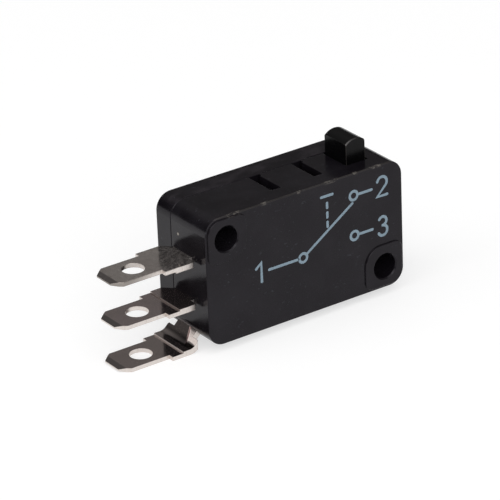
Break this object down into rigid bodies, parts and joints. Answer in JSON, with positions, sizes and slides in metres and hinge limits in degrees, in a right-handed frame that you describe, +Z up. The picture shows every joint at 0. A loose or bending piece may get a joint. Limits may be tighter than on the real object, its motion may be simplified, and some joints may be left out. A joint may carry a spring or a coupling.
{
  "type": "snap action micro switch",
  "caption": "Miniature snap action switch: a moulded two-shell body with a push plunger, side terminals with tabs, and a sprung changeover contact inside.",
  "frame": {"origin": "on the axis of the lower mounting hole, halfway through the body's depth", "axes": "+X along the body away from the terminals, +Y from the front face to the back face, +Z up through the plunger"},
  "size_m": [0.0386, 0.0104, 0.0198],
  "materials": {
    "black_moulding": "satin",
    "plunger_moulding": "satin",
    "plated_brass": "satin",
    "spring_bronze": "satin",
    "lever_steel": "satin",
    "spring_steel": "bright",
    "copper_rivet": "satin",
    "silver_alloy": "satin"
  },
  "bodies": {
    "housing": {"case": "black_moulding", "cover": "black_moulding", "terminal_nc": "plated_brass", "contact_nc_rivet": "copper_rivet", "contact_nc_face": "silver_alloy", "terminal_no": "plated_brass", "contact_no_rivet": "copper_rivet", "contact_no_face": "silver_alloy", "terminal_com": "plated_brass"},
    "plunger": {"plunger": "plunger_moulding"},
    "operating_lever": {"operating_lever": "lever_steel"},
    "contact_arm": {"contact_arm": "spring_bronze", "moving_contact_rivet": "copper_rivet", "moving_contact_upper_face": "silver_alloy", "moving_contact_lower_face": "silver_alloy"},
    "snap_spring": {"snap_spring": "spring_steel"}
  },
  "joints": [
    {"name": "plunger_press", "type": "slide", "parent": "housing", "child": "plunger", "axis": [0, 0, -1], "range_m": [0, 0.0022], "stiffness_N_per_m": 600, "springref_m": -0.002},
    {"name": "lever_rock", "type": "hinge", "parent": "housing", "child": "operating_lever", "pos_m": [-0.00755, -0.00015, 0.0038], "axis": [0, 1, 0], "range_deg": [0, 20.81]},
    {"name": "arm_rock", "type": "hinge", "parent": "housing", "child": "contact_arm", "pos_m": [-0.00825, -0.00015, 0.0047], "axis": [0, -1, 0], "range_deg": [0, 5.83]},
    {"name": "spring_swivel", "type": "hinge", "parent": "contact_arm", "child": "snap_spring", "pos_m": [-0.01484, -0.00015, 0.00504], "axis": [0, 1, 0], "range_deg": [0, 10.08]}
  ],
  "couplings": [
    {"joint": "lever_rock", "follows": "plunger_press", "rad_per_m": 165.09},
    {"joint": "arm_rock", "follows": "plunger_press", "rad_per_m": 46.211},
    {"joint": "spring_swivel", "follows": "plunger_press", "rad_per_m": 79.944}
  ]
}
